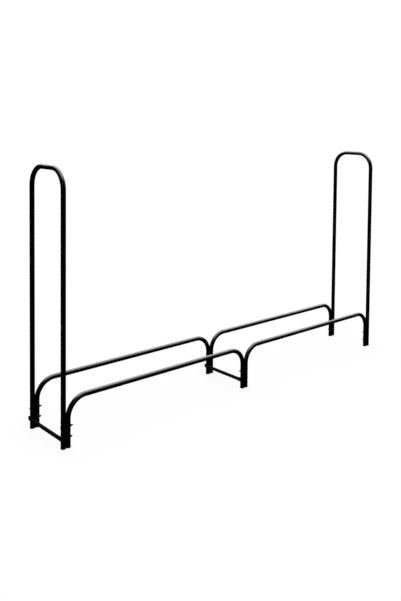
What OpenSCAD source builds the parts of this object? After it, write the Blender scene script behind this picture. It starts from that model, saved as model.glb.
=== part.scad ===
// Firewood log rack: two tall end frames joined by four low rails of bent round steel tube.
// +X runs along the rack, -Y is its front and +Z is up. The origin is on the floor under its middle.

/* [Rack] */
// Length over the outer faces of the two end frames
rack_length = 2438; // [1800:1:3000]
// Distance between the centre lines of the front and rear tubes
rack_depth = 300; // [240:1:420]
// Height of the end frames' top tube, at its centre line
frame_height = 1332; // [900:1:1600]
// Height of the rails, at their centre line
rail_height = 237; // [215:1:360]

/* [Tube] */
// Outer diameter of the end frames and rails
tube_d = 25.4; // [22:0.1:28]
// Wall thickness of the end frames and rails
tube_wall = 1.5; // [1:0.1:2]
// Bend radius of the end frames' corners, at the centre line
frame_bend_r = 100; // [60:1:110]
// Bend radius of the rails' corners, at the centre line
rail_bend_r = 97; // [70:1:100]
// Gap between two legs that stand side by side
leg_gap = 0.3; // [0.2:0.1:1]

/* [Crossbars] */
// Outer diameter of a crossbar
bar_d = 19; // [16:0.5:22]
// Wall thickness of a crossbar
bar_wall = 1.2; // [1:0.1:1.5]
// Width of the flattened stretch at each end of a crossbar
bar_flat_w = 25; // [24:1:28]
// Length of the flattened stretch at each end of a crossbar
bar_flat_len = 29; // [28:1:32]
// Height of the crossbars, at their centre line
bar_z = 51.5; // [45:0.5:60]

/* [Fasteners] */
// Thread diameter of the bolts
bolt_d = 6; // [5:1:6]
// Height of a leg pair's upper bolt above its lower one
bolt_spacing = 52; // [35:1:60]
// Length of a bolt under its head
bolt_len = 65; // [65:1:75]

/* [Feet] */
// Height of a foot cap's rounded lip
foot_lip_h = 6; // [4:0.5:8]
// How far the lip stands out beyond the tube
foot_lip_over = 1; // [0.5:0.1:1.2]
// Depth of a foot cap's plug inside the tube
foot_plug_len = 18; // [12:1:20]

/* [Hidden] */
$fn = 96;

tube_r = tube_d / 2;
bore_r = tube_r - tube_wall;
bar_r = bar_d / 2;
side_y = [-rack_depth / 2, rack_depth / 2];
FRONT = 0;
REAR = 1;

// A station is a place along the rack where two legs stand side by side, front and rear.
leg_pitch = tube_d + leg_gap;
end_x = rack_length / 2 - tube_r;
station_x = [-end_x + leg_pitch / 2, 0, end_x - leg_pitch / 2];
LEFT = 0;
MIDDLE = 1;
RIGHT = 2;
// Side of each station that its bolt heads are on, and the side that its crossbar is on (0 for none)
head_side = [-1, 1, 1];
bar_side = [-1, -1, 0];

// The tubes stand on the lips of their foot caps.
tube_bottom = foot_lip_h;
pair_half = leg_pitch / 2 + tube_r;
bolt_z = [bar_z, bar_z + bolt_spacing];
bolt_hole_r = bolt_d / 2 + 0.25;
// A flattened bar end is as thick as its two walls pressed together.
flat_t = 2 * bar_wall + 0.4;
flat_corner_r = 10;
flat_overhang = 16;
seat_clear = 0.05;
bar_half_len = rack_depth / 2 + flat_overhang;
crimp_len = 7;

head_r = bolt_d;
head_h = 0.55 * bolt_d;
head_rim_h = 0.12 * bolt_d;
socket_af = 0.667 * bolt_d;
socket_depth = 0.35 * bolt_d;
washer_r = bolt_d;
washer_t = 1.2;
nut_af = 1.667 * bolt_d;
nut_h = 0.85 * bolt_d;
foot_clear = 0.15;
foot_edge_r = 2;
cut_over = 1;

frame_color = [0.07, 0.07, 0.075];
fastener_color = [0.2, 0.2, 0.21];
foot_color = [0.03, 0.03, 0.03];

// Distance from a station's centre to the face that a bolt's head or washer bears on, on one side of it
function seat(s, level, side) =
    pair_half + seat_clear + (level == 0 && bar_side[s] == side ? flat_t + seat_clear : 0);

// Solid rod bent to an upside-down U in the XZ plane, span apart at its leg centres and centred on X = 0
module bent_rod(r, span, height, bend_r, bottom) {
    for (side = [-1, 1]) {
        translate([side * span / 2, 0, bottom]) cylinder(r = r, h = height - bend_r - bottom);
        translate([side * (span / 2 - bend_r), 0, height - bend_r])
            rotate([90, 0, 0])
                rotate([0, 0, side > 0 ? 0 : 90])
                    rotate_extrude(angle = 90) translate([bend_r, 0]) circle(r = r);
    }
    translate([-span / 2 + bend_r, 0, height])
        rotate([0, 90, 0]) cylinder(r = r, h = span - 2 * bend_r);
}

// Bent tube, open at the bottom of both legs
module bent_tube(span, height, bend_r) {
    difference() {
        bent_rod(tube_r, span, height, bend_r, tube_bottom);
        bent_rod(bore_r, span, height, bend_r, tube_bottom - cut_over);
    }
}

// Both bolt holes of one leg pair, right through it along X
module pair_holes(s, side) {
    for (z = bolt_z)
        translate([station_x[s] - pair_half - cut_over, side_y[side], z])
            rotate([0, 90, 0]) cylinder(r = bolt_hole_r, h = 2 * (pair_half + cut_over));
}

// Tall end frame that stands at x
module end_frame(x, s) {
    color(frame_color) difference() {
        translate([x, 0, 0]) rotate([0, 0, 90]) bent_tube(rack_depth, frame_height, frame_bend_r);
        for (side = [FRONT, REAR]) pair_holes(s, side);
    }
}

// Low rail between two stations, on one side of the rack
module rail(s_from, s_to, side) {
    x_from = station_x[s_from] + leg_pitch / 2;
    x_to = station_x[s_to] - leg_pitch / 2;
    color(frame_color) difference() {
        translate([(x_from + x_to) / 2, side_y[side], 0]) bent_tube(x_to - x_from, rail_height, rail_bend_r);
        pair_holes(s_from, side);
        pair_holes(s_to, side);
    }
}

// Crossbar of a station: a round tube with both ends pressed flat and drilled
module crossbar(s) {
    round_half = bar_half_len - bar_flat_len - crimp_len;
    axis_x = station_x[s] + bar_side[s] * (pair_half + seat_clear + flat_t / 2);
    color(frame_color) translate([axis_x, 0, bar_z]) difference() {
        union() {
            rotate([90, 0, 0]) cylinder(r = bar_r, h = 2 * round_half, center = true);
            for (dir = [0, 1]) mirror([0, dir, 0]) {
                crimp(round_half);
                flat_end(round_half);
            }
        }
        rotate([90, 0, 0]) cylinder(r = bar_r - bar_wall, h = 2 * (round_half - bar_wall), center = true);
        for (y = side_y) translate([0, y, 0])
            rotate([0, 90, 0]) cylinder(r = bolt_hole_r, h = flat_t + 2 * cut_over, center = true);
    }
}

// Cone that runs a crossbar's round section out into its flat end
module crimp(round_half) {
    translate([0, round_half, 0]) rotate([-90, 0, 0]) cylinder(r1 = bar_r, r2 = 0.4 * flat_t, h = crimp_len);
}

// Flat end of a crossbar: it widens along the crimp and has round corners
module flat_end(round_half) {
    half_w = bar_flat_w / 2;
    corner = [half_w - flat_corner_r, bar_half_len - flat_corner_r];
    outline = concat(
        [[bar_r - bar_wall, round_half], [half_w, round_half + crimp_len]],
        [for (a = [0 : 10 : 90]) corner + flat_corner_r * [cos(a), sin(a)]]
    );
    mirrored = [for (i = [len(outline) - 1 : -1 : 0]) [-outline[i].x, outline[i].y]];
    rotate([0, 90, 0]) linear_extrude(height = flat_t, center = true) polygon(concat(outline, mirrored));
}

// Stands its children at each bolt of a station, with +Z from the nut towards the bolt head
module each_bolt(s, level) {
    for (y = side_y)
        translate([station_x[s], y, bolt_z[level]]) rotate([0, head_side[s] * 90, 0]) children();
}

module hex_prism(across_flats, h) {
    cylinder(d = across_flats / cos(30), h = h, $fn = 6);
}

// Low domed bolt head that stands on z = 0, with a hexagon socket
module button_head() {
    dome_h = head_h - head_rim_h;
    dome_r = (head_r * head_r + dome_h * dome_h) / (2 * dome_h);
    difference() {
        rotate_extrude() {
            square([head_r, head_rim_h]);
            intersection() {
                translate([0, head_h - dome_r]) circle(r = dome_r);
                translate([0, head_rim_h]) square([head_r, dome_h]);
            }
        }
        translate([0, 0, head_h - socket_depth]) hex_prism(socket_af, socket_depth + cut_over);
    }
}

module bolts(s) {
    color(fastener_color) for (level = [0, 1]) each_bolt(s, level) {
        under_head = seat(s, level, head_side[s]);
        translate([0, 0, under_head]) button_head();
        translate([0, 0, under_head - bolt_len]) cylinder(d = bolt_d, h = bolt_len);
    }
}

// One washer under each nut
module washers(s) {
    color(fastener_color) for (level = [0, 1])
        each_bolt(s, level) translate([0, 0, -seat(s, level, -head_side[s]) - washer_t]) difference() {
            cylinder(r = washer_r, h = washer_t);
            translate([0, 0, -cut_over]) cylinder(r = bolt_hole_r, h = washer_t + 2 * cut_over);
        }
}

module nuts(s) {
    color(fastener_color) for (level = [0, 1]) {
        nut_seat = seat(s, level, -head_side[s]) + washer_t + seat_clear;
        each_bolt(s, level) translate([0, 0, -nut_seat - nut_h]) difference() {
            hex_prism(nut_af, nut_h);
            translate([0, 0, -cut_over]) cylinder(d = bolt_d, h = nut_h + 2 * cut_over);
        }
    }
}

// Plastic cap in the bottom of a tube: a plug inside the bore and a lip with a rounded lower edge
module foot_cap() {
    lip_r = tube_r + foot_lip_over;
    plug_r = bore_r - foot_clear;
    rotate_extrude() {
        difference() {
            square([lip_r, foot_lip_h]);
            translate([lip_r - foot_edge_r, 0]) square([foot_edge_r, foot_edge_r]);
        }
        translate([lip_r - foot_edge_r, foot_edge_r]) intersection() {
            circle(r = foot_edge_r);
            translate([0, -foot_edge_r]) square([foot_edge_r, foot_edge_r]);
        }
        translate([0, foot_lip_h]) square([plug_r, foot_plug_len]);
    }
}

// The caps of a leg pair press against each other, so each lip is flat where they meet
module foot_caps(s) {
    flat_x = leg_gap / 4;
    cut = [tube_d, 2 * tube_d, foot_lip_h + 2 * cut_over];
    color(foot_color) for (side = [0, 1], y = side_y)
        translate([station_x[s], y, 0]) mirror([side, 0, 0]) difference() {
            translate([leg_pitch / 2, 0, 0]) foot_cap();
            translate([flat_x - cut.x, -cut.y / 2, -cut_over]) cube(cut);
        }
}

end_frame(-end_x, LEFT);  // left_end_frame
end_frame(end_x, RIGHT);  // right_end_frame
rail(LEFT, MIDDLE, FRONT);  // front_left_rail
rail(LEFT, MIDDLE, REAR);  // rear_left_rail
rail(MIDDLE, RIGHT, FRONT);  // front_right_rail
rail(MIDDLE, RIGHT, REAR);  // rear_right_rail
crossbar(LEFT);  // left_crossbar
crossbar(MIDDLE);  // middle_crossbar
bolts(LEFT);  // left_bolts
bolts(MIDDLE);  // middle_bolts
bolts(RIGHT);  // right_bolts
washers(LEFT);  // left_washers
washers(MIDDLE);  // middle_washers
washers(RIGHT);  // right_washers
nuts(LEFT);  // left_nuts
nuts(MIDDLE);  // middle_nuts
nuts(RIGHT);  // right_nuts
foot_caps(LEFT);  // left_foot_caps
foot_caps(MIDDLE);  // middle_foot_caps
foot_caps(RIGHT);  // right_foot_caps
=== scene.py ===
"""Firewood log rack: the looks of its bent tubes, crossbars, fasteners and foot caps.

Lengths are in metres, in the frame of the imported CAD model: +X along the rack, -Y its front, +Z up.
"""

import math
import random

import bpy
from mathutils import Matrix, Vector


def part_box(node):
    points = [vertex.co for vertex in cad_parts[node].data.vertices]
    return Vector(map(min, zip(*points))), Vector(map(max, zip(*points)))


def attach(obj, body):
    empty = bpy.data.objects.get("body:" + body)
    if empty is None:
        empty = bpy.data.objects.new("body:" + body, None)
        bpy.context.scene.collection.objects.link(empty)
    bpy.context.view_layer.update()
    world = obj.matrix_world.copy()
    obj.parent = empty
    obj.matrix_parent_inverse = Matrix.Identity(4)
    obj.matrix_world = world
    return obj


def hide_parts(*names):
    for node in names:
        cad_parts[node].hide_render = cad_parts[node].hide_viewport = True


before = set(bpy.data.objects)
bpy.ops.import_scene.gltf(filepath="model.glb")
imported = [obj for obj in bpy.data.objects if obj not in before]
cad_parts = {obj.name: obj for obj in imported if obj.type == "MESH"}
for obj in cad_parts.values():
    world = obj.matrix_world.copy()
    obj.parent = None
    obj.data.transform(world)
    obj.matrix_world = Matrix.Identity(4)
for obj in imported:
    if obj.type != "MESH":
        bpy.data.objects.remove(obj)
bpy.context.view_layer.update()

MM = 0.001
SLOT_TUBE = "black_coated_tube"
SLOT_FASTENER = "black_fastener_steel"
SLOT_FOOT = "black_foot_plastic"

# ---------------------------------------------------------------- camera

EYE = Vector((-2.939, -3.074, 1.586))
HEADING = math.radians(41.46)
LOOK_DOWN = math.radians(2.82)
ROLL = math.radians(0.54)
LENS_MM = 43.1
SENSOR_MM = 36.0
SHIFT_DOWN = 0.249


def make_camera():
    data = bpy.data.cameras.new("camera")
    data.lens = LENS_MM
    data.sensor_width = SENSOR_MM
    data.shift_y = -SHIFT_DOWN
    camera = bpy.data.objects.new("camera", data)
    bpy.context.scene.collection.objects.link(camera)
    forward = Vector((
        math.sin(HEADING) * math.cos(LOOK_DOWN),
        math.cos(HEADING) * math.cos(LOOK_DOWN),
        -math.sin(LOOK_DOWN),
    ))
    level_right = Vector((math.cos(HEADING), -math.sin(HEADING), 0.0))
    level_up = level_right.cross(forward)
    right = level_right * math.cos(ROLL) + level_up * math.sin(ROLL)
    up = level_up * math.cos(ROLL) - level_right * math.sin(ROLL)
    camera.matrix_world = Matrix((
        (right.x, up.x, -forward.x, EYE.x),
        (right.y, up.y, -forward.y, EYE.y),
        (right.z, up.z, -forward.z, EYE.z),
        (0.0, 0.0, 0.0, 1.0),
    ))
    bpy.context.scene.camera = camera


make_camera()

# ---------------------------------------------------------------- sizes, read from the frame


def size_of(node):
    lo, hi = (Vector(corner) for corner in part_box(node))
    return hi - lo


def centre_of(node):
    lo, hi = (Vector(corner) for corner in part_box(node))
    return (lo + hi) / 2


TUBE_D = size_of("left_end_frame").x
TUBE_R = TUBE_D / 2
TUBE_WALL = 1.5 * MM
FRAME_BEND_R = 100 * MM
RAIL_BEND_R = 97 * MM
TUBE_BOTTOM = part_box("left_end_frame")[0][2]
# Heights of the centre lines of the end frames' top tubes and of the rails
FRAME_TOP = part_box("left_end_frame")[1][2] - TUBE_R
RAIL_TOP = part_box("front_left_rail")[1][2] - TUBE_R
SIDE_Y = {"front": centre_of("front_left_rail").y, "rear": centre_of("rear_left_rail").y}

# A station is a place along the rack where two legs stand side by side, front and rear. HEAD_SIDE is the
# side of it that the bolt heads are on, and BAR_SIDE the side that its crossbar is on.
STATIONS = ("left", "middle", "right")
HEAD_SIDE = {"left": -1, "middle": 1, "right": 1}
BAR_SIDE = {"left": -1, "middle": -1}
LEG_GAP = 0.3 * MM
LEG_PITCH = TUBE_D + LEG_GAP
STATION_X = {
    "left": centre_of("left_end_frame").x + LEG_PITCH / 2,
    "middle": 0.0,
    "right": centre_of("right_end_frame").x - LEG_PITCH / 2,
}
PAIR_HALF = LEG_PITCH / 2 + TUBE_R
HOLE_CLEAR = 0.25 * MM

BAR_Z = centre_of("left_crossbar").z
BAR_HALF_LEN = size_of("left_crossbar").y / 2
BAR_R = size_of("left_crossbar").x / 2
BAR_WALL = 1.2 * MM
FLAT_T = 2 * BAR_WALL + 0.4 * MM
FLAT_HALF_W = size_of("left_crossbar").z / 2
FLAT_LEN = 29 * MM
FLAT_CORNER_R = 10 * MM
CRIMP_LEN = 7 * MM

BOLT_D = 6 * MM
BOLT_LEN = 65 * MM
BOLT_SPACING = 52 * MM
BOLT_LEVELS = {"lower": BAR_Z, "upper": BAR_Z + BOLT_SPACING}
SEAT_CLEAR = 0.05 * MM
HEAD_R = BOLT_D
HEAD_H = 0.55 * BOLT_D
HEAD_RIM_H = 0.12 * BOLT_D
SOCKET_AF = 0.667 * BOLT_D
SOCKET_DEPTH = 0.35 * BOLT_D
WASHER_R = BOLT_D
WASHER_T = 1.2 * MM
NUT_AF = 1.667 * BOLT_D
NUT_H = 0.85 * BOLT_D
FOOT_LIP_OVER = 1 * MM
PLUG_CLEAR = 0.15 * MM

# ---------------------------------------------------------------- mesh helpers

PIECES = []


def add_piece(name, verts, faces, material, slot, replaced=(), sharp_deg=35.0):
    mesh = bpy.data.meshes.new(name)
    mesh.from_pydata([tuple(v) for v in verts], [], faces)
    mesh.validate()
    mesh.shade_smooth()
    mesh.set_sharp_from_angle(angle=math.radians(sharp_deg))
    mesh.materials.append(material)
    piece = bpy.data.objects.new(name, mesh)
    bpy.context.scene.collection.objects.link(piece)
    PIECES.append(piece)
    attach(piece, "root")
    if replaced:
        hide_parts(*replaced)
    return piece


def bridge(rings, close_start=True, close_end=True):
    """Vertices and faces of a skin over rings that all have the same number of points."""
    count = len(rings[0])
    verts = [point for ring in rings for point in ring]
    faces = []
    for row in range(len(rings) - 1):
        for i in range(count):
            j = (i + 1) % count
            low, high = row * count, (row + 1) * count
            faces.append((low + i, low + j, high + j, high + i))
    if close_start:
        faces.append(tuple(reversed(range(count))))
    if close_end:
        faces.append(tuple(range(len(verts) - count, len(verts))))
    return verts, faces


def merged(parts):
    """One list of vertices and one of faces from several (verts, faces) pairs."""
    verts, faces = [], []
    for part_verts, part_faces in parts:
        base = len(verts)
        verts += part_verts
        faces += [tuple(base + i for i in face) for face in part_faces]
    return verts, faces


def placed(part, matrix):
    verts, faces = part
    return [matrix @ Vector(v) for v in verts], faces


def smoothstep(t):
    t = min(max(t, 0.0), 1.0)
    return t * t * (3 - 2 * t)

# ---------------------------------------------------------------- materials

# Range of a noise's values that the colours and gloss run over
NOISE_MIDDLE = (0.3, 0.7)
# Scales count noise cells in a metre, and each GLOSS pair holds two roughnesses.
COAT_BROAD_SCALE = 9.0
COAT_PEEL_SCALE = 420.0
COAT_PEEL_DEPTH = 0.05 * MM
COAT_PEEL_GLOSS = (-0.02, 0.03)
COAT_DARK = (0.0003, 0.0003, 0.00035)
COAT_LIGHT = (0.0008, 0.0008, 0.00085)
STEEL_BROAD_SCALE = 160.0
STEEL_GRAIN_SCALE = 2600.0
STEEL_GRAIN_DEPTH = 0.01 * MM
STEEL_MARKS_SCALE = (300.0, 2500.0, 2500.0)
STEEL_MARKS_DEPTH = 0.02 * MM
STEEL_GLOSS = (0.36, 0.5)
STEEL_DARK = (0.006, 0.006, 0.0065)
STEEL_LIGHT = (0.016, 0.016, 0.017)
PLASTIC_TEXTURE_SCALE = 1400.0
PLASTIC_TEXTURE_DEPTH = 0.03 * MM
PLASTIC_PATCH_SCALE = 220.0
PLASTIC_GLOSS = (0.5, 0.66)
PLASTIC_DARK = (0.004, 0.004, 0.004)
PLASTIC_LIGHT = (0.008, 0.008, 0.008)
PLASTIC_SCUFF = (0.03, 0.03, 0.028)
PLASTIC_SCUFF_HEIGHT = 3 * MM


def new_material(name):
    """A node material with its Principled shader, and a helper that adds and wires nodes."""
    material = bpy.data.materials.new(name)
    material.use_nodes = True
    tree = material.node_tree
    shader = tree.nodes["Principled BSDF"]

    def add(kind, inputs=None, **settings):
        node = tree.nodes.new(kind)
        for key, value in settings.items():
            setattr(node, key, value)
        for key, value in (inputs or {}).items():
            if isinstance(value, bpy.types.NodeSocket):
                tree.links.new(value, node.inputs[key])
            else:
                node.inputs[key].default_value = value
        return node

    return material, shader, add, tree.links.new


def noise(add, position, scale, detail=3.0):
    inputs = {"Vector": position, "Scale": scale, "Detail": detail}
    return add("ShaderNodeTexNoise", inputs).outputs["Fac"]


def remap(add, value, low, high, to_low, to_high):
    """Maps value from low..high to to_low..to_high, and holds it there outside."""
    inputs = {
        "Value": value,
        "From Min": low,
        "From Max": high,
        "To Min": to_low,
        "To Max": to_high,
    }
    return add("ShaderNodeMapRange", inputs).outputs["Result"]


def shades(add, value, dark, light):
    """Colour that runs from dark to light over the middle of a noise's range."""
    node = add("ShaderNodeValToRGB", {"Fac": value})
    for element, position, color in zip(node.color_ramp.elements, NOISE_MIDDLE, (dark, light)):
        element.position = position
        element.color = (*color, 1.0)
    return node.outputs["Color"]


def bump(add, height, distance, strength, under=None):
    inputs = {"Height": height, "Distance": distance, "Strength": strength}
    if under is not None:
        inputs["Normal"] = under
    return add("ShaderNodeBump", inputs).outputs["Normal"]


def powder_coat_material(name, gloss, level):
    """Black powder coat: soft orange peel, slow changes of shade and gloss. gloss holds two roughnesses."""
    material, shader, add, link = new_material(name)
    position = add("ShaderNodeTexCoord").outputs["Object"]
    broad = noise(add, position, COAT_BROAD_SCALE, detail=4.0)
    peel = noise(add, position, COAT_PEEL_SCALE, detail=1.5)
    link(shades(add, broad, COAT_DARK, COAT_LIGHT), shader.inputs["Base Color"])

    sheen = remap(add, broad, *NOISE_MIDDLE, *gloss)
    peel_gloss = remap(add, peel, *NOISE_MIDDLE, *COAT_PEEL_GLOSS)
    mottled = add("ShaderNodeMath", {0: sheen, 1: peel_gloss}, operation="ADD")
    link(mottled.outputs[0], shader.inputs["Roughness"])
    link(bump(add, peel, COAT_PEEL_DEPTH, 0.35), shader.inputs["Normal"])
    shader.inputs["IOR"].default_value = 1.5
    shader.inputs["Specular IOR Level"].default_value = level
    return material


def fastener_material():
    """Black-plated steel: a little brighter and duller than the coat, with faint tool marks."""
    material, shader, add, link = new_material("black_plated_steel")
    position = add("ShaderNodeTexCoord").outputs["Object"]
    broad = noise(add, position, STEEL_BROAD_SCALE, detail=4.0)
    grain = noise(add, position, STEEL_GRAIN_SCALE)
    stretched = add("ShaderNodeMapping", {"Vector": position, "Scale": STEEL_MARKS_SCALE})
    marks = noise(add, stretched.outputs["Vector"], 1.0, detail=2.0)
    link(shades(add, broad, STEEL_DARK, STEEL_LIGHT), shader.inputs["Base Color"])
    link(remap(add, broad, *NOISE_MIDDLE, *STEEL_GLOSS), shader.inputs["Roughness"])
    marked = bump(add, marks, STEEL_MARKS_DEPTH, 0.5)
    link(bump(add, grain, STEEL_GRAIN_DEPTH, 0.5, marked), shader.inputs["Normal"])
    shader.inputs["Metallic"].default_value = 0.35
    return material


def foot_material():
    """Matt black moulded plastic: fine moulded texture, scuffed a little paler near the floor."""
    material, shader, add, link = new_material("black_foot_plastic")
    position = add("ShaderNodeTexCoord").outputs["Object"]
    height = add("ShaderNodeSeparateXYZ", {"Vector": position}).outputs["Z"]
    texture = noise(add, position, PLASTIC_TEXTURE_SCALE)
    patches = noise(add, position, PLASTIC_PATCH_SCALE, detail=4.0)
    low = remap(add, height, 0.0, PLASTIC_SCUFF_HEIGHT, 1.0, 0.0)
    worn = remap(add, patches, 0.45, 0.7, 0.0, 0.6)
    scuffed = add("ShaderNodeMath", {0: low, 1: worn}, operation="MULTIPLY").outputs[0]
    plastic = shades(add, patches, PLASTIC_DARK, PLASTIC_LIGHT)
    mixed = {"Factor": scuffed, "A": plastic, "B": (*PLASTIC_SCUFF, 1.0)}
    color = add("ShaderNodeMix", mixed, data_type="RGBA")
    link(color.outputs["Result"], shader.inputs["Base Color"])
    link(remap(add, patches, *NOISE_MIDDLE, *PLASTIC_GLOSS), shader.inputs["Roughness"])
    link(bump(add, texture, PLASTIC_TEXTURE_DEPTH, 0.6), shader.inputs["Normal"])
    return material


COAT = powder_coat_material("black_powder_coat", gloss=(0.26, 0.34), level=0.5)
DULL_COAT = powder_coat_material("black_dull_coat", gloss=(0.6, 0.7), level=0.04)
PLATED = fastener_material()
FOOT_PLASTIC = foot_material()

# ---------------------------------------------------------------- bent tubes

TUBE_SEGMENTS = 64
BEND_STEPS = 28
# Part of the radius that a tube loses on the outside of its bends
BEND_FLATTEN = 0.035
RIM_EDGE = 0.4 * MM
# How far up from its open end a tube's bore is modelled
BORE_SHOWN = 25 * MM


def bent_path(span, top, bend_r):
    """Points, headings and bend weights along an upside-down U, from one foot over to the other."""
    half, corner_z = span / 2, top - bend_r
    path = [(-half, TUBE_BOTTOM + RIM_EDGE, 0.0, 0.0)]
    for corner_x, start in ((-half + bend_r, 0.0), (half - bend_r, math.pi / 2)):
        for step in range(BEND_STEPS + 1):
            turn = start + math.pi / 2 * step / BEND_STEPS
            along, up = corner_x - bend_r * math.cos(turn), corner_z + bend_r * math.sin(turn)
            weight = math.sin(math.pi * step / BEND_STEPS) ** 0.5
            path.append((along, up, turn, weight))
    path.append((half, TUBE_BOTTOM + RIM_EDGE, math.pi, 0.0))
    return path


def leg_end(along, turn):
    """Rings of a tube's open bottom, from inside its bore out to its edge."""
    bore_r = TUBE_R - TUBE_WALL
    return [
        (along, TUBE_BOTTOM + BORE_SHOWN, turn, bore_r),
        (along, TUBE_BOTTOM, turn, bore_r),
        (along, TUBE_BOTTOM, turn, TUBE_R - RIM_EDGE),
    ]


def bent_tube(span, top, bend_r, place):
    """Skin of a bent tube. place turns a distance along the span, a height and one across into a point."""
    path = bent_path(span, top, bend_r)
    start, end = leg_end(path[0][0], 0.0), leg_end(path[-1][0], math.pi)
    sections = [(along, up, turn, radius, 0.0) for along, up, turn, radius in start]
    sections += [(along, up, turn, TUBE_R, weight) for along, up, turn, weight in path]
    sections += [(along, up, turn, radius, 0.0) for along, up, turn, radius in reversed(end)]
    rings = []
    for along, up, turn, radius, weight in sections:
        outward = (-math.cos(turn), math.sin(turn))
        ring = []
        for i in range(TUBE_SEGMENTS):
            angle = 2 * math.pi * i / TUBE_SEGMENTS
            flatten = 1 - BEND_FLATTEN * weight * max(math.cos(angle), 0.0) ** 2
            off = radius * flatten * math.cos(angle)
            across = radius * math.sin(angle)
            ring.append(place(along + off * outward[0], up + off * outward[1], across))
        rings.append(ring)
    return bridge(rings, close_start=False, close_end=False)


def make_end_frames():
    span = SIDE_Y["rear"] - SIDE_Y["front"]
    for end in ("left", "right"):
        node = f"{end}_end_frame"
        x = centre_of(node).x

        def place(along, up, across):
            return Vector((x - across, along, up))

        part = bent_tube(span, FRAME_TOP, FRAME_BEND_R, place)
        add_piece(f"{end}_end_frame_tube", *part, COAT, SLOT_TUBE, [node])


def make_rails():
    for side, y in SIDE_Y.items():
        for end in ("left", "right"):
            node = f"{side}_{end}_rail"
            middle = centre_of(node).x

            def place(along, up, across):
                return Vector((middle + along, y + across, up))

            part = bent_tube(size_of(node).x - TUBE_D, RAIL_TOP, RAIL_BEND_R, place)
            add_piece(f"{side}_{end}_rail_tube", *part, COAT, SLOT_TUBE, [node])


# ---------------------------------------------------------------- crossbars

BAR_SEGMENTS = 56
BAR_STEPS = 14
# How far the crimp's start reaches back into the round stretch
BAR_PINCH = 2 * MM
# Power of the superellipse that a flat end's section is: 2 would be an ellipse
FLAT_EDGE_POWER = 4.5


def bar_section(y, half_w, half_t, power):
    """Closed outline at y: a circle at power 2, and a slab with round edges at a higher one."""
    ring = []
    for i in range(BAR_SEGMENTS):
        angle = 2 * math.pi * i / BAR_SEGMENTS
        c, s = math.cos(angle), math.sin(angle)
        ring.append((half_t * math.copysign(abs(c) ** (2 / power), c), y, half_w * s))
    return ring


def crossbar_end():
    """Rings from the middle of a crossbar out to its pressed-flat, round-cornered tip."""
    round_half = BAR_HALF_LEN - FLAT_LEN - CRIMP_LEN
    rings = [bar_section(0.0, BAR_R, BAR_R, 2.0)]
    for step in range(BAR_STEPS + 1):
        t = step / BAR_STEPS
        eased = smoothstep(t)
        y = round_half - BAR_PINCH + (CRIMP_LEN + BAR_PINCH) * t
        half_t = BAR_R + (FLAT_T / 2 - BAR_R) * eased
        half_w = BAR_R + (FLAT_HALF_W - BAR_R) * eased
        rings.append(bar_section(y, half_w, half_t, 2.0 + (FLAT_EDGE_POWER - 2.0) * eased))
    for step in range(BAR_STEPS + 1):
        turn = math.pi / 2 * step / BAR_STEPS
        y = BAR_HALF_LEN - FLAT_CORNER_R * (1 - math.sin(turn))
        half_w = FLAT_HALF_W - FLAT_CORNER_R * (1 - math.cos(turn))
        rings.append(bar_section(y, half_w, FLAT_T / 2, FLAT_EDGE_POWER))
    tip_half_w = FLAT_HALF_W - FLAT_CORNER_R
    slit_half_t, slit_depth = 0.1 * FLAT_T, 2 * MM
    rings.append(bar_section(BAR_HALF_LEN, 0.95 * tip_half_w, slit_half_t, 2.0))
    rings.append(bar_section(BAR_HALF_LEN - slit_depth, 0.9 * tip_half_w, slit_half_t, 2.0))
    return rings


def make_crossbars():
    rings = crossbar_end()
    back = [[(x, -y, z) for x, y, z in ring] for ring in reversed(rings[1:])]
    for station in BAR_SIDE:
        node = f"{station}_crossbar"
        verts, faces = bridge(back + rings)
        outward = (verts, [face[::-1] for face in faces])
        part = placed(outward, Matrix.Translation(centre_of(node)))
        add_piece(f"{station}_crossbar_tube", *part, DULL_COAT, SLOT_TUBE, [node], sharp_deg=50.0)


# ---------------------------------------------------------------- fasteners

HEX_SIDES = 6
POINTS_PER_SIDE = 10
CHAMFER_SLOPE = math.tan(math.radians(30))
# Part of a nut's half width at which its chamfer starts
CHAMFER_FROM = 0.96
DOME_STEPS = 12
WASHER_POINTS = 48
THREAD_PITCH = 1 * MM
THREAD_DEPTH = 0.54 * MM
THREAD_LEN = 22 * MM
THREAD_POINTS = 28
THREAD_ROWS_PER_TURN = 8


def circle_ring(radius, z, count):
    turns = [2 * math.pi * i / count for i in range(count)]
    return [(radius * math.cos(turn), radius * math.sin(turn), z) for turn in turns]


def disc_ring(radius, z):
    """Round ring with as many points as a hexagon's ring."""
    return circle_ring(radius, z, HEX_SIDES * POINTS_PER_SIDE)


def hex_ring(across_flats, z_at):
    """Ring round a hexagon. z_at turns the hexagon's own radius at each point into its height."""
    side_angle = 2 * math.pi / HEX_SIDES
    count = HEX_SIDES * POINTS_PER_SIDE
    ring = []
    for i in range(count):
        angle = 2 * math.pi * i / count
        hex_r = across_flats / 2 / math.cos(angle % side_angle - side_angle / 2)
        ring.append((hex_r * math.cos(angle), hex_r * math.sin(angle), z_at(hex_r)))
    return ring


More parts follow.
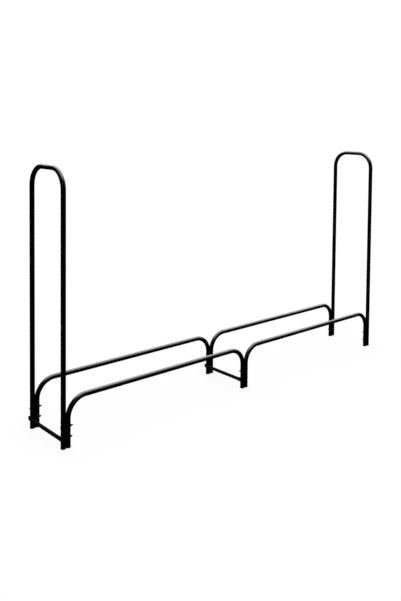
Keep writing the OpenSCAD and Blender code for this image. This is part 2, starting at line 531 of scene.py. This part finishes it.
def button_head():
    """Low domed bolt head that stands on z = 0, with a chamfered hexagon socket."""
    dome_h = HEAD_H - HEAD_RIM_H
    dome_r = (HEAD_R ** 2 + dome_h ** 2) / (2 * dome_h)
    mouth_r = 0.68 * SOCKET_AF
    rim_edge = 0.2 * MM
    rings = [
        disc_ring(BOLT_D / 2, 0.0),
        disc_ring(HEAD_R - rim_edge, 0.0),
        disc_ring(HEAD_R, rim_edge),
        disc_ring(HEAD_R, HEAD_RIM_H),
    ]
    for step in range(1, DOME_STEPS + 1):
        radius = HEAD_R + (mouth_r - HEAD_R) * step / DOME_STEPS
        rings.append(disc_ring(radius, HEAD_H - dome_r + math.sqrt(dome_r ** 2 - radius ** 2)))
    socket_floor = HEAD_H - SOCKET_DEPTH
    chamfer = 0.25 * MM
    rings.append(hex_ring(SOCKET_AF, lambda hex_r: HEAD_H - chamfer))
    rings.append(hex_ring(SOCKET_AF, lambda hex_r: socket_floor))
    rings.append(disc_ring(0.1 * SOCKET_AF, socket_floor - chamfer))
    return bridge(rings)


def hex_nut():
    """Nut from z = 0 to its height, chamfered at both faces, with a countersunk bore."""
    bore_r, sink = BOLT_D / 2, 0.5 * MM
    flat_r = CHAMFER_FROM * NUT_AF / 2

    def drop(hex_r):
        return max(hex_r - flat_r, 0.0) * CHAMFER_SLOPE

    rings = [
        disc_ring(bore_r, sink),
        disc_ring(bore_r + sink, 0.0),
        disc_ring(flat_r, 0.0),
        hex_ring(NUT_AF, drop),
        hex_ring(NUT_AF, lambda hex_r: NUT_H - drop(hex_r)),
        disc_ring(flat_r, NUT_H),
        disc_ring(bore_r + sink, NUT_H),
        disc_ring(bore_r, NUT_H - sink),
    ]
    return bridge(rings + rings[:1], close_start=False, close_end=False)


def shank():
    """Bolt shank down from z = 0, threaded along its lower end, with a chamfered tip."""
    row_h = THREAD_PITCH / THREAD_ROWS_PER_TURN
    tip_taper = 0.7 * MM
    rings = []
    for row in range(round(THREAD_LEN / row_h) + 1):
        up = row * row_h
        ring = []
        for i in range(THREAD_POINTS):
            turn = i / THREAD_POINTS
            phase = (up / THREAD_PITCH - turn) % 1.0
            depth = THREAD_DEPTH * (1 - abs(2 * phase - 1))
            radius = BOLT_D / 2 - max(depth, tip_taper - up)
            angle = 2 * math.pi * turn
            ring.append((radius * math.cos(angle), radius * math.sin(angle), up - BOLT_LEN))
        rings.append(ring)
    rings.append(circle_ring(BOLT_D / 2, THREAD_LEN + row_h - BOLT_LEN, THREAD_POINTS))
    rings.append(circle_ring(BOLT_D / 2, 0.0, THREAD_POINTS))
    return bridge(rings)


def washer():
    """Flat washer from z = 0 up, with rounded outer edges."""
    edge = 0.25 * MM
    profile = [
        (BOLT_D / 2 + HOLE_CLEAR, 0.0),
        (WASHER_R - edge, 0.0),
        (WASHER_R - 0.3 * edge, 0.3 * edge),
        (WASHER_R, edge),
    ]
    profile += [(radius, WASHER_T - z) for radius, z in reversed(profile)]
    rings = [circle_ring(radius, z, WASHER_POINTS) for radius, z in profile]
    return bridge(rings + rings[:1], close_start=False, close_end=False)


def bolt_places(station):
    """Matrices that stand +Z along each bolt of a station, towards its head, and each bolt's level."""
    turn = Matrix.Rotation(HEAD_SIDE[station] * math.pi / 2, 4, "Y")
    for level, z in BOLT_LEVELS.items():
        for y in SIDE_Y.values():
            yield Matrix.Translation((STATION_X[station], y, z)) @ turn, level


def seat(station, level, side):
    """Distance from a station's centre to the face that a head or washer bears on, on one side of it."""
    over_bar = level == "lower" and BAR_SIDE.get(station) == side
    return PAIR_HALF + SEAT_CLEAR + (FLAT_T + SEAT_CLEAR if over_bar else 0.0)


def raised(height, spin=0.0):
    return Matrix.Translation((0, 0, height)) @ Matrix.Rotation(spin, 4, "Z")


def make_fasteners():
    spins = random.Random(8)
    for station in STATIONS:
        head_side = HEAD_SIDE[station]
        bolts, washers, nuts = [], [], []
        for place, level in bolt_places(station):
            turned = place @ raised(seat(station, level, head_side), spins.uniform(0, math.pi))
            bolts += [placed(button_head(), turned), placed(shank(), turned)]
            washer_seat = seat(station, level, -head_side)
            washers.append(placed(washer(), place @ raised(-washer_seat - WASHER_T)))
            nut_z = -(washer_seat + WASHER_T + SEAT_CLEAR + NUT_H)
            nuts.append(placed(hex_nut(), place @ raised(nut_z, spins.uniform(0, math.pi))))
        for name, node, parts in (
            ("button_bolts", "bolts", bolts),
            ("flat_washers", "washers", washers),
            ("hex_nuts", "nuts", nuts),
        ):
            verts, faces = merged(parts)
            replaced = [f"{station}_{node}"]
            add_piece(f"{station}_{name}", verts, faces, PLATED, SLOT_FASTENER, replaced)


# ---------------------------------------------------------------- foot caps

CAP_POINTS = 72
CAP_EDGE_R = 2 * MM
CAP_EDGE_STEPS = 6
CAP_TOP_EDGE_R = 0.5 * MM
CAP_TOP_EDGE_STEPS = 3
CAP_PLUG_SHOWN = 12 * MM
# Radius and height of the underside's moulded recess and of the gate mark in its middle
CAP_UNDERSIDE = ((1.2 * MM, 0.9 * MM), (1.6 * MM, 0.5 * MM), (6.5 * MM, 0.5 * MM), (7.2 * MM, 0.0))


def cap_profile():
    """Radius and height from the middle of a foot cap's underside, round its lip, and up its plug."""
    lip_r = TUBE_R + FOOT_LIP_OVER
    plug_r = TUBE_R - TUBE_WALL - PLUG_CLEAR
    profile = list(CAP_UNDERSIDE)
    low_r = lip_r - CAP_EDGE_R
    for step in range(CAP_EDGE_STEPS + 1):
        turn = math.pi / 2 * step / CAP_EDGE_STEPS
        profile.append((low_r + CAP_EDGE_R * math.sin(turn), CAP_EDGE_R * (1 - math.cos(turn))))
    top_r, top_z = lip_r - CAP_TOP_EDGE_R, TUBE_BOTTOM - CAP_TOP_EDGE_R
    for step in range(CAP_TOP_EDGE_STEPS + 1):
        turn = math.pi / 2 * step / CAP_TOP_EDGE_STEPS
        profile.append((top_r + CAP_TOP_EDGE_R * math.cos(turn), top_z + CAP_TOP_EDGE_R * math.sin(turn)))
    profile += [(plug_r, TUBE_BOTTOM), (plug_r, TUBE_BOTTOM + CAP_PLUG_SHOWN)]
    return profile


def cap_ring(station, side, y, radius, z):
    """Round ring of a cap, pressed flat where it would reach the cap of the leg beside it."""
    ring = []
    for i in range(CAP_POINTS):
        angle = 2 * math.pi * i / CAP_POINTS
        off_x = max(LEG_PITCH / 2 + radius * math.cos(angle), LEG_GAP / 4)
        ring.append((STATION_X[station] + side * off_x, y + side * radius * math.sin(angle), z))
    return ring


def make_foot_caps():
    for station in STATIONS:
        caps = []
        for side in (-1, 1):
            for y in SIDE_Y.values():
                caps.append(bridge([cap_ring(station, side, y, *point) for point in cap_profile()]))
        replaced = [f"{station}_foot_caps"]
        add_piece(f"{station}_leg_caps", *merged(caps), FOOT_PLASTIC, SLOT_FOOT, replaced)


make_end_frames()
make_rails()
make_crossbars()
make_fasteners()
make_foot_caps()

# ---------------------------------------------------------------- floor, world and lights

# The floor's colour and glow add up to the backdrop's white, so its contact shadows stay faint.
FLOOR_HALF = 60.0
FLOOR_COLOR = (0.15, 0.15, 0.15)
FLOOR_GLOW = 0.85
FLOOR_MOTTLE_SCALE = 1.5
BACKGROUND = (1.0, 1.0, 1.0)
BACKGROUND_STRENGTH = 1.04
# Corners of the overhead panel in X and Y, its height, and how bright it is
CEILING_LOW = Vector((-2.2, -2.2))
CEILING_HIGH = Vector((11.0, 8.0))
CEILING_HEIGHT = 4.4
CEILING_RADIANCE = 5.2


def make_floor():
    material, shader, add, link = new_material("pale_floor")
    position = add("ShaderNodeTexCoord").outputs["Object"]
    mottle = noise(add, position, FLOOR_MOTTLE_SCALE)
    worn = tuple(0.99 * channel for channel in FLOOR_COLOR)
    link(shades(add, mottle, FLOOR_COLOR, worn), shader.inputs["Base Color"])
    shader.inputs["Roughness"].default_value = 0.9
    shader.inputs["Specular IOR Level"].default_value = 0.0
    shader.inputs["Emission Color"].default_value = (1.0, 1.0, 1.0, 1.0)
    shader.inputs["Emission Strength"].default_value = FLOOR_GLOW
    mesh = bpy.data.meshes.new("floor")
    corners = [(x * FLOOR_HALF, y * FLOOR_HALF, 0) for x, y in ((-1, -1), (1, -1), (1, 1), (-1, 1))]
    mesh.from_pydata(corners, [], [(0, 1, 2, 3)])
    mesh.materials.append(material)
    floor = bpy.data.objects.new("floor", mesh)
    bpy.context.scene.collection.objects.link(floor)
    floor.visible_glossy = False


def make_world():
    """Plain white backdrop that the camera sees and that the tubes don't mirror."""
    world = bpy.data.worlds.new("studio")
    world.use_nodes = True
    background = world.node_tree.nodes["Background"]
    background.inputs["Color"].default_value = (*BACKGROUND, 1.0)
    background.inputs["Strength"].default_value = BACKGROUND_STRENGTH
    world.cycles_visibility.glossy = False
    bpy.context.scene.world = world


def make_lights():
    """One large soft panel overhead, linked to the rack alone so that it doesn't burn out the floor."""
    size = CEILING_HIGH - CEILING_LOW
    data = bpy.data.lights.new("ceiling", "AREA")
    data.shape = "RECTANGLE"
    data.size = size.x
    data.size_y = size.y
    data.energy = CEILING_RADIANCE * math.pi * size.x * size.y
    ceiling = bpy.data.objects.new("ceiling", data)
    ceiling.location = (*((CEILING_LOW + CEILING_HIGH) / 2), CEILING_HEIGHT)
    ceiling.visible_camera = False
    bpy.context.scene.collection.objects.link(ceiling)
    rack = bpy.data.collections.new("rack")
    for piece in PIECES:
        rack.objects.link(piece)
    ceiling.light_linking.receiver_collection = rack


make_floor()
make_world()
make_lights()
bpy.context.scene.view_settings.view_transform = "Standard"
